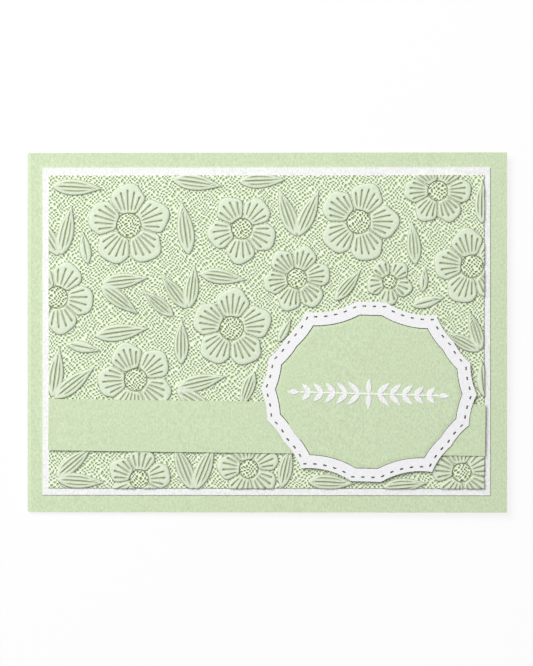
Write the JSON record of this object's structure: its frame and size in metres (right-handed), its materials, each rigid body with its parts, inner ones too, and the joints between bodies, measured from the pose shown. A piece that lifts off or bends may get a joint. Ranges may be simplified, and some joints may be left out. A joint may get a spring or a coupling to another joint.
{
  "type": "greeting card",
  "caption": "Folded greeting card lying closed, with a mat, an embossed floral panel, a plain band and a scalloped stitched label on its front.",
  "frame": {"origin": "on the table, under the middle of the card", "axes": "+X from the fold to the free edges, +Y up the front as it is read, +Z out of the front"},
  "size_m": [0.14, 0.105, 0.0048],
  "materials": {
    "green_card": "matte",
    "green_paper": "matte",
    "white_paper": "matte",
    "clear_tape": "satin"
  },
  "bodies": {
    "root": {"card_base": "green_card", "mat_tape": "clear_tape", "white_mat": "white_paper", "panel_tape": "clear_tape", "embossed_panel": "green_paper", "band_tape": "clear_tape", "plain_band": "green_paper", "label_tape": "clear_tape", "stitched_ring": "white_paper", "label_middle": "green_paper", "leaf_sprig": "white_paper"}
  },
  "joints": []
}
